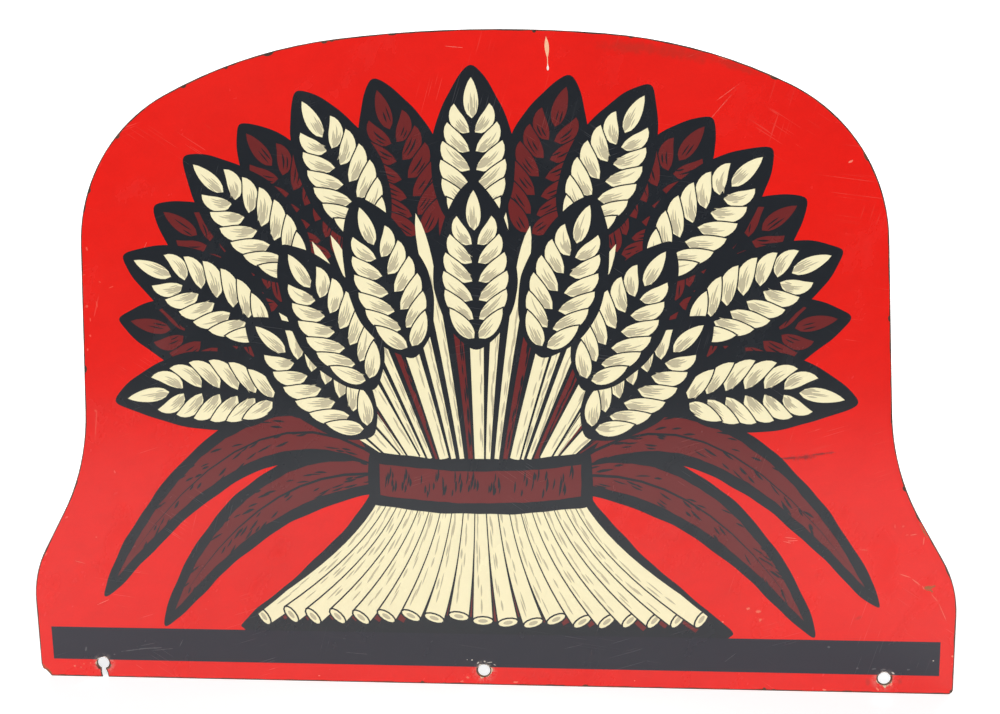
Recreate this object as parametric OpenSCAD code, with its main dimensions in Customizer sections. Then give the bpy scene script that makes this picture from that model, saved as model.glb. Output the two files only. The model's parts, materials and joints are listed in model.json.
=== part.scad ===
// Die-cut sheet steel advertising sign, screen printed on its front with a sheaf of wheat.
// Width runs along X and height along Z, and the printed front faces -Y.
// The origin is the middle hole's axis, on the back of the finished sheet.

/* [Sheet] */
// Overall width across the feet
sign_w = 712; // [590:1:860]
// Overall height at the middle of the crown
sign_h = 498; // [415:1:600]
// Thickness of the bare steel
steel_t = 0.9; // [0.6:0.05:1.5]
// Radius of the two bottom corners
corner_r = 4; // [2:0.5:8]
// Height of the straight foot above the bottom edge
foot_rise = 63; // [45:1:75]
// Radius of the round on top of each foot
foot_r = 87; // [70:1:105]
// Length of the slanted edge above each foot
slant_l = 35; // [25:1:45]
// Slope of that edge from upright, in degrees
slant_deg = 29.6; // [25:0.1:35]
// Radius of the hollow at each waist
waist_r = 183; // [150:1:220]
// Lean of the sides from upright, in degrees
lean_deg = 2.9; // [1:0.1:5]
// Radius of each shoulder
shoulder_r = 130; // [105:1:156]
// Turn of each shoulder, in degrees
shoulder_deg = 60.5; // [55:0.5:63]
// Radius of the brow between shoulder and crown
brow_r = 370; // [300:1:440]
// Turn of each brow, in degrees
brow_deg = 21; // [18:0.5:22]

/* [Holes] */
// Diameter of the three punched holes
hole_d = 9.525; // [7:0.005:12]
// Height of the hole line above the bottom edge
hole_up = 11.9; // [9:0.1:15]
// Distance of each outer hole from the side of its foot
hole_side = 51.2; // [40:0.1:62]

/* [Damage] */
// Width of the torn hole's slot where it leaves the hole
tear_neck_w = 3.4; // [2:0.1:4.5]
// Width of the slot halfway to the edge
tear_belly_w = 5; // [3:0.1:7]
// Width of the slot at the bottom edge
tear_mouth_w = 4.8; // [3:0.1:7]
// Sideways drift of the slot on its way to the edge
tear_drift = 1; // [0:0.1:2]
// Width broken off the bottom left corner
clip_w = 7.6; // [5:0.1:12]
// Height broken off the bottom left corner
clip_h = 9.8; // [5:0.1:14]

/* [Paint] */
// Thickness of the enamel on the back
back_t = 0.06; // [0.04:0.01:0.12]
// Thickness of the cream enamel on the front
base_t = 0.06; // [0.04:0.01:0.12]
// Thickness of one pass of printed ink
ink_t = 0.05; // [0.04:0.01:0.08]
// Bare rim left between the steel's edge and its paint
bare_rim = 0.3; // [0.2:0.05:0.6]
// How far the black laps over the ink beside it
trap = 2; // [1:0.1:3]

/* [Bar] */
// Height of the black bar
bar_h = 27.2; // [20:0.1:34]
// Height of the bar above the bottom edge
bar_up = 14.6; // [12:0.1:20]
// Distance of the bar's ends from the sides of the feet
bar_side = 10.7; // [8:0.1:16]

/* [Sheaf] */
// Least distance of the ears' tips from the sheet's edge
art_margin = 30; // [24:1:40]
// Height of the middle of the fan of ears
fan_up = 250; // [230:1:270]
// Number of cream ears in the outer row
outer_n = 9; // [7:2:11]
// Angle of the last outer ear from upright, in degrees
outer_deg = 94; // [80:1:105]
// Number of cream ears in the inner row
inner_n = 7; // [5:2:9]
// Angle of the last inner ear from upright, in degrees
inner_deg = 78; // [60:1:90]
// Reach of the inner row as a part of the outer row's
inner_reach = 0.63; // [0.55:0.01:0.7]
// Reach of the maroon ears behind as a part of the outer row's
rear_reach = 0.98; // [0.9:0.01:1.02]
// Length of an ear
ear_l = 122; // [101:1:147]
// Width of an ear
ear_w = 52; // [43:1:63]
// Height of the tie's middle above the bottom edge
tie_up = 166; // [150:1:180]
// Width of the tie
tie_w = 160; // [130:1:190]
// Height of the tie
tie_h = 32; // [26:1:38]
// Width of the spread straw ends at the bottom
skirt_w = 370; // [300:1:440]
// Gap between the straw ends and the bar
skirt_gap = 5; // [2:0.5:10]
// Width of the long leaves beside the tie
blade_w = 34; // [28:1:40]
// Height of the long leaves' tips above the straw ends
blade_rise = 26; // [20:1:32]
// Width of the black contour
line_w = 7; // [5:0.5:9]

/* [Hidden] */
$fn = 48;

// Depths behind the front, measured forwards from the back of the finished sheet.
steel_y = back_t;
base_y = steel_y + steel_t;
ink_y = base_y + base_t;
black_y = ink_y + ink_t;

crown_deg = 90 - lean_deg - shoulder_deg - brow_deg;
hole_x = sign_w / 2 - hole_side;
film_hole_r = hole_d / 2 + bare_rim;
bar_top = bar_up + bar_h;
skirt_foot = bar_top + skirt_gap;
tie_top = tie_up + tie_h / 2;
tie_foot = tie_up - tie_h / 2;

// The end of an arc that starts on this heading; a negative radius and turn bend it to the right.
function arc_step(heading, r, turn) =
    r * [sin(heading + turn) - sin(heading), cos(heading) - cos(heading + turn)];
function arc_run(p, heading, r, turn, n) =
    [for (k = [1:n]) p + arc_step(heading, r, turn * k / n)];
function ahead(heading, l) = l * [cos(heading), sin(heading)];

// The right half of the sheet's outline, from the bottom edge up to the crown.
// The inset draws it parallel to itself, which every paint film uses.
function half_outline(inset) =
    let (
        r_foot = foot_r - inset,
        r_waist = waist_r + inset,
        r_shoulder = shoulder_r - inset,
        r_brow = brow_r - inset,
        p0 = [sign_w / 2 - corner_r, inset],
        corner = arc_run(p0, 0, corner_r - inset, 90, 6),
        p1 = [sign_w / 2 - inset, foot_rise],
        foot = arc_run(p1, 90, r_foot, slant_deg, 8),
        p2 = p1 + arc_step(90, r_foot, slant_deg),
        p3 = p2 + ahead(90 + slant_deg, slant_l),
        hollow_deg = slant_deg - lean_deg,
        waist = arc_run(p3, 90 + slant_deg, -r_waist, -hollow_deg, 10),
        p4 = p3 + arc_step(90 + slant_deg, -r_waist, -hollow_deg),
        h5 = 90 + lean_deg,
        h6 = h5 + shoulder_deg,
        rest = arc_step(h5, r_shoulder, shoulder_deg) + arc_step(h6, r_brow, brow_deg),
        k = tan(crown_deg / 2),
        top = sign_h - inset,
        side_l = (top - p4.y - rest.y - k * (p4.x + rest.x)) / (cos(lean_deg) - k * sin(lean_deg)),
        p5 = p4 + ahead(h5, side_l),
        shoulder = arc_run(p5, h5, r_shoulder, shoulder_deg, 20),
        p6 = p5 + arc_step(h5, r_shoulder, shoulder_deg),
        brow = arc_run(p6, h6, r_brow, brow_deg, 9),
        p7 = p6 + arc_step(h6, r_brow, brow_deg),
        r_crown = p7.x / sin(crown_deg),
        crown = arc_run(p7, 180 - crown_deg, r_crown, crown_deg, 5)
    )
    concat([p0], corner, [p1], foot, [p3], waist, [p5], shoulder, brow, crown);

function mirrored(points) = [for (k = [len(points) - 1:-1:0]) [-points[k].x, points[k].y]];
function without_last(points) = [for (k = [0:len(points) - 2]) points[k]];

// The whole outline with the broken corner and the torn slot, but without the holes.
module sheet_shape(inset) {
    half = half_outline(inset);
    difference() {
        polygon(concat(half, mirrored(without_last(half))));
        translate([-sign_w / 2, 0]) broken_corner(inset);
        translate([-hole_x, hole_up]) torn_slot(inset);
    }
}

module broken_corner(inset) {
    x = clip_w + inset;
    y = clip_h + inset;
    polygon([[-1, -1], [x, -1], [x, 0], [x * 0.5, y * 0.48], [x * 0.16, y * 0.62], [0, y], [-1, y]]);
}

module torn_slot(inset) {
    neck = tear_neck_w / 2 + inset;
    belly = tear_belly_w / 2 + inset;
    mouth = tear_mouth_w / 2 + inset;
    below = -hole_up - 1;
    polygon([
        [-neck - tear_drift / 3, 0], [-neck - tear_drift / 3, -hole_up * 0.38],
        [-belly + tear_drift / 3, -hole_up * 0.72], [-mouth + tear_drift, below],
        [mouth + tear_drift, below], [belly + tear_drift / 3, -hole_up * 0.72],
        [neck - tear_drift / 3, -hole_up * 0.38], [neck - tear_drift / 3, 0]
    ]);
}

module hole_row(r) {
    for (x = [-hole_x, 0, hole_x]) translate([x, hole_up]) circle(r);
}

// Stands a flat drawing up on the sheet, from this depth forwards.
module film(depth, t) {
    translate([0, -depth, -hole_up]) rotate([90, 0, 0]) linear_extrude(t) children();
}

// The fan of ears: its tips lie on a rounded arch that follows the sheet's own.
waist_x = sign_w / 2 - foot_r * (1 - cos(slant_deg)) - slant_l * sin(slant_deg)
    - waist_r * (cos(lean_deg) - cos(slant_deg));
fan_x = waist_x - art_margin;
fan_z = sign_h - fan_up - art_margin;
function soft(v) = sign(v) * pow(abs(v), 0.85);
function on_fan(deg, reach) = [fan_x * soft(sin(deg)), fan_z * soft(cos(deg))] * reach + [0, fan_up];

// An ear's stalk leaves the tie nearly upright and bends out to the ear's tip.
function stalk(deg, reach, u) =
    let (
        root = [tie_w * 0.42 * sin(deg * 0.9), tie_top],
        tip = on_fan(deg, reach),
        bend = root + 0.55 * norm(tip - root) * [sin(deg * 0.55), cos(deg * 0.55)]
    )
    root * pow(1 - u, 2) + bend * 2 * u * (1 - u) + tip * u * u;
function stalk_l(deg, reach) =
    norm(stalk(deg, reach, 0.5) - stalk(deg, reach, 0)) + norm(stalk(deg, reach, 1) - stalk(deg, reach, 0.5));
function across(deg, reach, u) =
    let (d = stalk(deg, reach, u + 0.01) - stalk(deg, reach, u - 0.01)) [-d.y, d.x] / norm(d);
function plump(s) = pow(sin(180 * pow(s, 0.8)), 0.75);

module ear(deg, reach, w) {
    u0 = 1 - ear_l / stalk_l(deg, reach);
    rim = [for (k = [0:12]) let (s = k / 12, u = u0 + (1 - u0) * s)
        [stalk(deg, reach, u), across(deg, reach, u) * max(plump(s), 0.02) * w / 2]];
    polygon(concat([for (e = rim) e[0] + e[1]], [for (k = [12:-1:0]) rim[k][0] - rim[k][1]]));
}

module row_of_ears(n, last_deg, reach, w) {
    for (k = [0:n - 1]) ear(last_deg * (2 * k / (n - 1) - 1), reach, w);
}

module rear_ears(w) {
    last_deg = outer_deg * (outer_n - 2) / (outer_n - 1);
    row_of_ears(outer_n - 1, last_deg, rear_reach, w);
}

module cream_ears(w) {
    row_of_ears(outer_n, outer_deg, 1, w);
    row_of_ears(inner_n, inner_deg, inner_reach, w);
}

// The packed stalks between the tie and the ears, and the spread straw below the tie.
module bundle() {
    polygon(concat(
        [[tie_w * 0.45, tie_up]],
        [for (k = [-6:6]) on_fan(-k * outer_deg / 6, inner_reach)],
        [[-tie_w * 0.45, tie_up]]
    ));
}

module skirt() {
    edge = [for (k = [0:6]) let (s = k / 6)
        [tie_w * 0.45 + (skirt_w / 2 - tie_w * 0.45) * pow(s, 1.35), tie_up + (skirt_foot - tie_up) * s]];
    polygon(concat(edge, mirrored(edge)));
}

module tie() {
    bow = tie_h * 0.2;
    edge = [for (k = [-5:5]) [tie_w / 10 * k, tie_foot - bow * (1 - k * k / 25)]];
    polygon(concat(edge, [for (k = [5:-1:-5]) edge[k + 5] + [0, tie_h]]));
}

// Two leaves arch out and down from the tie on each side; u runs from root to tip.
blade_tip_x = sign_w / 2 - 2 * art_margin;
blades = [
    [[tie_w * 0.36, tie_up], [blade_tip_x * 0.55, tie_up + 105], [blade_tip_x, skirt_foot + blade_rise]],
    [[tie_w * 0.36, tie_up], [blade_tip_x * 0.55, tie_up + 25], [blade_tip_x * 0.84, skirt_foot + 2]]
];
function on_blade(b, u) = b[0] * pow(1 - u, 2) + b[1] * 2 * u * (1 - u) + b[2] * u * u;
function beside(b, u) =
    let (d = on_blade(b, u + 0.01) - on_blade(b, u - 0.01)) [-d.y, d.x] / norm(d);

module blade(b, w) {
    rim = [for (k = [0:12]) let (u = k / 12)
        [on_blade(b, u), beside(b, u) * max(plump(u), 0.02) * w / 2]];
    polygon(concat([for (e = rim) e[0] + e[1]], [for (k = [12:-1:0]) rim[k][0] - rim[k][1]]));
}

module all_blades(w) {
    for (b = blades) {
        blade(b, w);
        mirror([1, 0]) blade(b, w);
    }
}

module sheaf_shape() {
    rear_ears(ear_w);
    all_blades(blade_w);
    cream_ears(ear_w);
    bundle();
    skirt();
    tie();
}

module steel_sheet() {
    color("slategray") film(steel_y, steel_t) difference() {
        sheet_shape(0);
        hole_row(hole_d / 2);
    }
}

module back_enamel() {
    color("dimgray") film(0, back_t) difference() {
        sheet_shape(bare_rim);
        hole_row(film_hole_r);
    }
}

module front_enamel() {
    color([1, 0.96, 0.8]) film(base_y, base_t) difference() {
        sheet_shape(bare_rim);
        hole_row(film_hole_r);
    }
}

// The red ground, left open where the sheaf stands.
module red_ink() {
    color([0.9, 0.1, 0.07]) film(ink_y, ink_t) difference() {
        sheet_shape(bare_rim);
        hole_row(film_hole_r);
        offset(delta = line_w / 2 - trap, chamfer = true) sheaf_shape();
    }
}

// The ears behind, the long leaves and the tie.
module maroon_ink() {
    color([0.42, 0.13, 0.13]) film(ink_y, ink_t) {
        difference() {
            offset(delta = -trap / 2) {
                rear_ears(ear_w);
                all_blades(blade_w);
            }
            offset(delta = trap / 2) {
                cream_ears(ear_w);
                bundle();
                skirt();
                tie();
            }
        }
        offset(delta = -trap / 2) tie();
    }
}

// Shading down the middle of each cream ear.
module tan_ink() {
    color([0.78, 0.74, 0.62]) film(ink_y, ink_t) offset(delta = -ear_w / 5) cream_ears(ear_w);
}

// The contour round the whole sheaf.
module black_ink() {
    color([0.12, 0.12, 0.14]) film(black_y, ink_t) difference() {
        offset(delta = line_w / 2, chamfer = true) sheaf_shape();
        offset(delta = -line_w / 2) sheaf_shape();
    }
}

// The bar along the foot of the sign, which the holes just bite into.
module name_bar() {
    color([0.16, 0.16, 0.18]) film(black_y, ink_t) difference() {
        translate([bar_side - sign_w / 2, bar_up]) square([sign_w - 2 * bar_side, bar_h]);
        hole_row(film_hole_r);
    }
}

steel_sheet();
back_enamel();
front_enamel();
red_ink();
maroon_ink();
tan_ink();
black_ink();
name_bar();
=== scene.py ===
import json
import random
from math import atan2, copysign, cos, pi, radians, sin

import bmesh
import bpy
from bpy.props import (
    FloatProperty,
    FloatVectorProperty,
    IntProperty,
    PointerProperty,
)
from mathutils import Matrix, Vector
from mathutils.geometry import delaunay_2d_cdt


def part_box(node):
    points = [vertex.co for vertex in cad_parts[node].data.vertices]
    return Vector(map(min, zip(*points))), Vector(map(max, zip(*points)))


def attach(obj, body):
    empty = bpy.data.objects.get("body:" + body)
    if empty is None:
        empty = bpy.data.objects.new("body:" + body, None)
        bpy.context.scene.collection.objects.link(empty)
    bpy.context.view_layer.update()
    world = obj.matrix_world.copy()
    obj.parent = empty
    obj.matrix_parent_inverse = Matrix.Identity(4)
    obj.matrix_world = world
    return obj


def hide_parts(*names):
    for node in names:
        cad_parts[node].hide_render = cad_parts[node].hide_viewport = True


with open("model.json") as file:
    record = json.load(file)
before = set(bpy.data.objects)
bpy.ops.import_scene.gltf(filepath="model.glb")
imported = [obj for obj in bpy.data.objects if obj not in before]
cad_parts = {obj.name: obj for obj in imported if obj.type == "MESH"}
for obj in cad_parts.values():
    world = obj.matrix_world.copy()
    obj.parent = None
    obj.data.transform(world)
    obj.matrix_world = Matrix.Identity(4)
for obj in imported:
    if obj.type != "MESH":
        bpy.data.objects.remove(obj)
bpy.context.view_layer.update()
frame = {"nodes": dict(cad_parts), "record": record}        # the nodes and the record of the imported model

bl_info = {
    "name": "Printed Steel Sign",
    "version": (1, 0, 0),
    "blender": (4, 5, 0),
    "location": "3D View > Sidebar > Sign",
    "description": "Enamels, prints and wears a die-cut steel sign with a sheaf of wheat on it",
    "category": "Object",
}

MM = 0.001
NODES = frame["nodes"]
SHEET_LOW, SHEET_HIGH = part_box("steel_sheet")
SHEET_W = SHEET_HIGH.x - SHEET_LOW.x
SHEET_H = SHEET_HIGH.z - SHEET_LOW.z
FOOT_Z = SHEET_LOW.z
BAR_LOW, BAR_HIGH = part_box("name_bar")
FLOOR_Z = FOOT_Z - 0.0002
FRONT_Y = BAR_LOW.y
FILM_DEPTH = BAR_HIGH.y - FRONT_Y


def record_colour(slot):
    """The colour that the record gives for a material slot."""
    found = next(m for m in frame["record"]["materials"] if m["slot"] == slot)
    return (*found["base_color"], 1.0)


def mount_size(name, size):
    """A size of one of the record's mounts, in metres."""
    found = next(m for m in frame["record"]["mounts"] if m["name"] == name)
    return found["dims"][size] * MM


HOLE_X = mount_size("outer_holes", "spacing_x_mm") / 2
HOLE_R = mount_size("outer_holes", "hole_r_mm")


def length(name, description, default):
    """A length that a user may change, in metres."""
    return FloatProperty(name=name, description=description, default=default, min=0, unit="LENGTH")


def angle(name, description, degrees):
    """An angle that a user may change, given in degrees."""
    return FloatProperty(name=name, description=description, default=radians(degrees), unit="ROTATION")


def share(name, description, default):
    """A share between none and all."""
    return FloatProperty(
        name=name, description=description, default=default, min=0, soft_max=1, subtype="FACTOR"
    )


def colour(name, description, default):
    """A colour that a user may change."""
    return FloatVectorProperty(
        name=name, description=description, default=default, min=0, max=1, size=4, subtype="COLOR"
    )


class SheafSizes(bpy.types.PropertyGroup):
    """Sizes of the printed sheaf, which fits the window left open in the red."""

    margin: length("Margin", "Distance of the ears' tips from the sheet's edge", 30 * MM)
    foot_r: length("Foot round", "Radius of the round on top of each foot of the sheet", 87 * MM)
    slant: length("Slant", "Length of the slanted edge above each foot", 35 * MM)
    slant_lean: angle("Slant lean", "Slope of that edge from upright", 29.6)
    waist_r: length("Waist radius", "Radius of the hollow at each waist", 183 * MM)
    side_lean: angle("Side lean", "Lean of the sheet's sides from upright", 2.9)
    fan_up: length("Fan height", "Height of the middle of the fan of ears", 250 * MM)
    outer_count: IntProperty(name="Outer ears", description="Cream ears in the outer row", default=9)
    outer_turn: angle("Outer turn", "Angle of the last outer ear from upright", 94)
    inner_count: IntProperty(name="Inner ears", description="Cream ears in the inner row", default=7)
    inner_turn: angle("Inner turn", "Angle of the last inner ear from upright", 78)
    inner_reach: share("Inner reach", "Reach of the inner row as a part of the outer row's", 0.63)
    rear_reach: share("Rear reach", "Reach of the maroon ears as a part of the outer row's", 0.98)
    ear_length: length("Ear length", "Length of an ear", 122 * MM)
    ear_width: length("Ear width", "Width of an ear", 52 * MM)
    tie_up: length("Tie height", "Height of the tie's middle above the bottom edge", 166 * MM)
    tie_width: length("Tie width", "Width of the tie", 160 * MM)
    tie_depth: length("Tie depth", "Height of the tie itself", 32 * MM)
    skirt_width: length("Straw spread", "Width of the spread straw ends", 370 * MM)
    skirt_gap: length("Straw gap", "Gap between the straw ends and the bar", 5 * MM)
    leaf_width: length("Leaf width", "Width of the long leaves", 34 * MM)
    leaf_rise: length("Leaf rise", "Height of the leaves' tips above the straw ends", 26 * MM)
    line: length("Contour", "Width of the black lines inside the sheaf", 7 * MM)
    border: length("Border", "How far the black contour reaches beyond each part", 5.2 * MM)
    inset: length("Inset", "How far the grains stay inside their ear's outline", 2 * MM)
    grain_pairs: IntProperty(name="Grain pairs", description="Pairs of grains on an ear", default=6)
    grain_width: length("Grain width", "Width of a grain in the middle of an ear", 12 * MM)
    grain_gap: length("Grain gap", "Width of the black line round a grain", 0.9 * MM)
    trap: length("Trap", "How far the black laps over the red beside it", 2 * MM)
    seed: IntProperty(name="Seed", description="Seed of the hand-cut irregularities", default=7)


class PaintColours(bpy.types.PropertyGroup):
    """Colours of the paints, inks and bare metal."""

    cream: colour("Cream", "Cream enamel under the inks", (0.97, 0.89, 0.58, 1))
    red: colour("Red", "Red ground", (0.82, 0.009, 0.004, 1))
    maroon: colour("Maroon", "Maroon ink", record_colour("maroon_ink"))
    tan: colour("Tan", "Tan shading ink", record_colour("tan_ink"))
    black: colour("Black", "Black ink of the contour", (0.012, 0.015, 0.020, 1))
    bar: colour("Bar", "Black ink of the bar", (0.017, 0.017, 0.028, 1))
    back: colour("Back", "Grey enamel on the back", record_colour("back_enamel"))
    steel: colour("Steel", "Browned bare steel", (0.11, 0.065, 0.045, 1))
    rust: colour("Rust", "Rust on bare steel", (0.23, 0.075, 0.025, 1))
    bare: colour("Chipped", "Pale undercoat in a chip", (0.72, 0.58, 0.40, 1))
    drip: colour("Drip", "Spilt pale paint", (0.94, 0.52, 0.31, 1))
    dust: colour("Dust", "Dust and handling marks", (0.62, 0.50, 0.42, 1))


class WearAmounts(bpy.types.PropertyGroup):
    """How worn the paint is, and how glossy."""

    mottle: share("Mottle", "Unevenness of the ink's colour", 0.5)
    scratches: share("Scratches", "Strength of the fine scratches", 0.2)
    gloss: share("Roughness", "Roughness of the clean paint", 0.2)
    peel: length("Orange peel", "Height of the ripples in the paint", 0.004 * MM)
    edge: length("Worn edge", "Width of the brown line where the paint has worn off the edge", 0.55 * MM)
    chips: IntProperty(name="Edge chips", description="Chips along the sheet's edge", default=70)
    chip_depth: length("Chip depth", "How far the deepest edge chip reaches in", 1.5 * MM)
    seed: IntProperty(name="Seed", description="Seed of the chips along the edge", default=11)


class StageSetup(bpy.types.PropertyGroup):
    """The photographer's table, lamps and camera."""

    lens: FloatProperty(name="Lens", description="Focal length", default=52.02, unit="CAMERA")
    distance: length("Distance", "Distance from the camera to its target", 1.072)
    table_front: length("Table front", "How far the pale table reaches in front", 0.76)
    backdrop: length("Backdrop", "Distance of the backdrop behind the sign", 2.6)
    key: FloatProperty(name="Key", description="Power of the main lamp", default=44, unit="POWER")
    fill: FloatProperty(name="Fill", description="Power of the second lamp", default=30, unit="POWER")
    rear: FloatProperty(name="Rear", description="Power of the lamp behind", default=24, unit="POWER")
    world: share("World", "Brightness of the room", 0.2)
    glow: share("Glow", "How far the table is lifted towards white", 0.4)
    sheen: share("Sheen", "How far it is lifted where the paint mirrors it", 0.5)
    haze: share("Haze", "How far the backdrop and the room are lifted besides", 0.4)


# Node helpers


class Field:
    """One output of a node. Sums, products and tests of fields add Math nodes to their tree."""

    def __init__(self, net, socket):
        self.net, self.socket = net, socket

    def __add__(self, other):
        return self.net.maths("ADD", self, other)

    def __sub__(self, other):
        return self.net.maths("SUBTRACT", self, other)

    def __rsub__(self, other):
        return self.net.maths("SUBTRACT", other, self)

    def __mul__(self, other):
        return self.net.maths("MULTIPLY", self, other)

    def __truediv__(self, other):
        return self.net.maths("DIVIDE", self, other)

    def __lt__(self, other):
        return self.net.maths("LESS_THAN", self, other)

    def __gt__(self, other):
        return self.net.maths("GREATER_THAN", self, other)


class Net:
    """A node tree, and short ways to add nodes to it."""

    def __init__(self, tree):
        self.tree = tree

    def put(self, socket, value):
        """Joins a field to an input, or sets the input's value."""
        if isinstance(value, Field):
            self.tree.links.new(value.socket, socket)
        else:
            socket.default_value = value

    def node(self, kind, values=None, **settings):
        """A new node with these settings and these input values or fields, by name or number."""
        made = self.tree.nodes.new(kind)
        for name, value in settings.items():
            setattr(made, name, value)
        for name, value in (values or {}).items():
            self.put(made.inputs[name], value)
        return made

    def field(self, output, kind, values=None, **settings):
        """One output of a new node."""
        return Field(self, self.node(kind, values, **settings).outputs[output])

    def fields(self, kind, values=None, **settings):
        """All outputs of a new node, by name."""
        made = self.node(kind, values, **settings)
        return {socket.name: Field(self, socket) for socket in made.outputs}

    def maths(self, operation, a, b=0.0):
        """The result of one Math node."""
        return self.field(0, "ShaderNodeMath", {0: a, 1: b}, operation=operation)

    def most(self, first, *others):
        """The greatest of several fields."""
        for other in others:
            first = self.maths("MAXIMUM", first, other)
        return first

    def blend(self, factor, a, b):
        """The colour a turned into the colour b by a factor."""
        return self.field(2, "ShaderNodeMix", {0: factor, 6: a, 7: b}, data_type="RGBA")

    def layered(self, base, *layers):
        """Colours laid over a base one after another, each where its own mask says."""
        for mask, laid in layers:
            base = self.blend(mask, base, laid)
        return base

    def steps(self, value, low, high, to_low=0.0, to_high=1.0):
        """A smooth step of the value between low and high."""
        values = {"Value": value, "From Min": low, "From Max": high, "To Min": to_low, "To Max": to_high}
        return self.field("Result", "ShaderNodeMapRange", values, interpolation_type="SMOOTHSTEP")

    def noise(self, place, scale, detail=2.0, roughness=0.5):
        """Even noise between 0 and 1, at a scale per metre."""
        values = {"Vector": place, "Scale": scale, "Detail": detail, "Roughness": roughness}
        return self.field(0, "ShaderNodeTexNoise", values)

    def place(self):
        """The place on the sheet, in metres."""
        return self.field("Object", "ShaderNodeTexCoord")

    def place_parts(self):
        """The place on the sheet as its three coordinates."""
        return self.fields("ShaderNodeSeparateXYZ", {0: self.place()})

    def mapped(self, place, turn=0.0, scale=(1, 1, 1), shift=(0, 0, 0)):
        """A place turned about the sheet's normal, then scaled and shifted."""
        turned = self.field(0, "ShaderNodeMapping", {"Vector": place, "Rotation": (0, turn, 0)})
        return self.field(0, "ShaderNodeMapping", {"Vector": turned, "Location": shift, "Scale": scale})

    def effect(self, name, values):
        """The outputs of a shared effect with its own values. Its first use makes it."""
        group = bpy.data.node_groups.get(name) or new_effect(name, *EFFECTS[name])
        return self.fields("ShaderNodeGroup", values, node_tree=group)


# Shared effects


WHITE = (1, 1, 1, 1)
SCRATCH_DEPTH = 0.012 * MM
SPECK_DEPTH = 0.03 * MM
RUST_HEIGHT = 0.04 * MM
DARK_STEEL = (0.03, 0.025, 0.022, 1)
DARK_RUST = (0.06, 0.022, 0.012, 1)


def new_effect(name, recipe, inputs, outputs):
    """A node group, in which a recipe turns the fields of its inputs into its outputs."""
    tree = bpy.data.node_groups.new(name, "ShaderNodeTree")
    for label, default in inputs.items():
        kind = "NodeSocketColor" if isinstance(default, tuple) else "NodeSocketFloat"
        tree.interface.new_socket(label, in_out="INPUT", socket_type=kind).default_value = default
    for label in outputs:
        kind = "NodeSocketColor" if label == "Base Color" else "NodeSocketFloat"
        tree.interface.new_socket(label, in_out="OUTPUT", socket_type=kind)
    net = Net(tree)
    given, result = net.fields("NodeGroupInput"), net.node("NodeGroupOutput")
    for label, value in recipe(net, given).items():
        net.put(result.inputs[label], value)
    return tree


# The directions of the scratches in degrees, with their noise scales along and across
SCRATCH_DIRECTIONS = ((18, 22, 950), (-34, 30, 1100), (73, 26, 900), (-8, 12, 1300))


def fine_scratches(net, given):
    """Thin broken lines in a few directions, in patches, over the whole sheet."""
    place = net.place()
    lines = []
    for k, (degrees, along, across) in enumerate(SCRATCH_DIRECTIONS):
        drawn = net.mapped(place, radians(degrees), (along, 1, across), (7.3 * k, 0, 3.1 * k))
        line = net.steps(net.noise(drawn, 1.0, 0.0), 0.70, 0.75)
        patch = net.noise(net.mapped(place, shift=(0.37 * k, 0, 0.91 * k)), 14.0)
        lines.append(line * net.steps(patch, 0.56, 0.68))
    return {"Mask": net.most(*lines) * given["Amount"]}


def specks(net, given):
    """Small round specks, one in a few cells of a scattered grid."""
    place = net.place()
    values = {"Vector": net.mapped(place, scale=(1, 0, 1)), "Scale": given["Cells"]}
    cell = net.fields("ShaderNodeTexVoronoi", values, voronoi_dimensions="3D", feature="F1")
    chance = net.fields("ShaderNodeSeparateColor", {0: cell["Color"]})
    size = given["Size"] * given["Cells"] * (chance["Green"] + 0.3)
    far = cell["Distance"] + net.noise(place, 1400.0, 1.0) * size
    return {"Mask": (far < size * 1.5) * (chance["Red"] < given["Share"])}


def aged_paint(net, given):
    """Aged glossy paint: uneven colour, fine scratches, specks and rippled gloss."""
    place = net.place()
    broad = net.noise(place, 7.0, 4.0, 0.55)
    cloudy = net.noise(net.mapped(place, 0.3, (1, 1, 1.8)), 38.0, 4.0, 0.6)
    grainy = net.noise(place, 650.0, 2.0, 0.6)
    uneven = broad * 0.5 + cloudy * 0.32 + grainy * 0.18
    level = (uneven - 0.5) * given["Mottle"] * 0.9 + 1.0
    values = {"Color": given["Colour"], "Value": level}
    painted = net.field(0, "ShaderNodeHueSaturation", values)

    lines = net.effect("fine_scratches", {"Amount": given["Scratches"]})["Mask"]
    dots = net.effect("specks", {"Cells": 33.0, "Size": 0.42 * MM, "Share": given["Specks"]})["Mask"]
    marked = net.blend(lines, painted, given["Scratch Colour"])
    marked = net.blend(dots, marked, given["Speck Colour"])

    rub = net.noise(net.mapped(place, -0.5, (1.6, 1, 1)), 16.0, 5.0, 0.62)
    dull = net.steps(rub, 0.50, 0.72, 0.0, 0.14)
    smear = net.noise(place, 120.0, 3.0) * 0.06
    rough = given["Roughness"] + (dull + smear) + net.most(lines, dots) * 0.3

    ripple = net.noise(place, 210.0) + net.noise(place, 30.0, 1.0) * 3.0
    height = ripple * given["Peel"] - lines * SCRATCH_DEPTH - dots * SPECK_DEPTH
    return {"Base Color": marked, "Roughness": rough, "Height": height}


def ragged_spot(net, given):
    """A ragged oval spot at one place on the sheet: 1 inside it and 0 outside."""
    at = net.place_parts()
    x, z = at["X"] - given["X"], at["Z"] - given["Z"]
    turn_cos, turn_sin = net.maths("COSINE", given["Turn"]), net.maths("SINE", given["Turn"])
    along = (x * turn_cos + z * turn_sin) / given["Half Length"]
    across = (z * turn_cos - x * turn_sin) / given["Half Width"]
    far = net.maths("SQRT", along * along + across * across) + given["Torn"] * given["Ragged"]
    return {"Mask": net.steps(far, 1.0 - given["Soft"], 1.0, 1.0, 0.0)}


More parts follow.
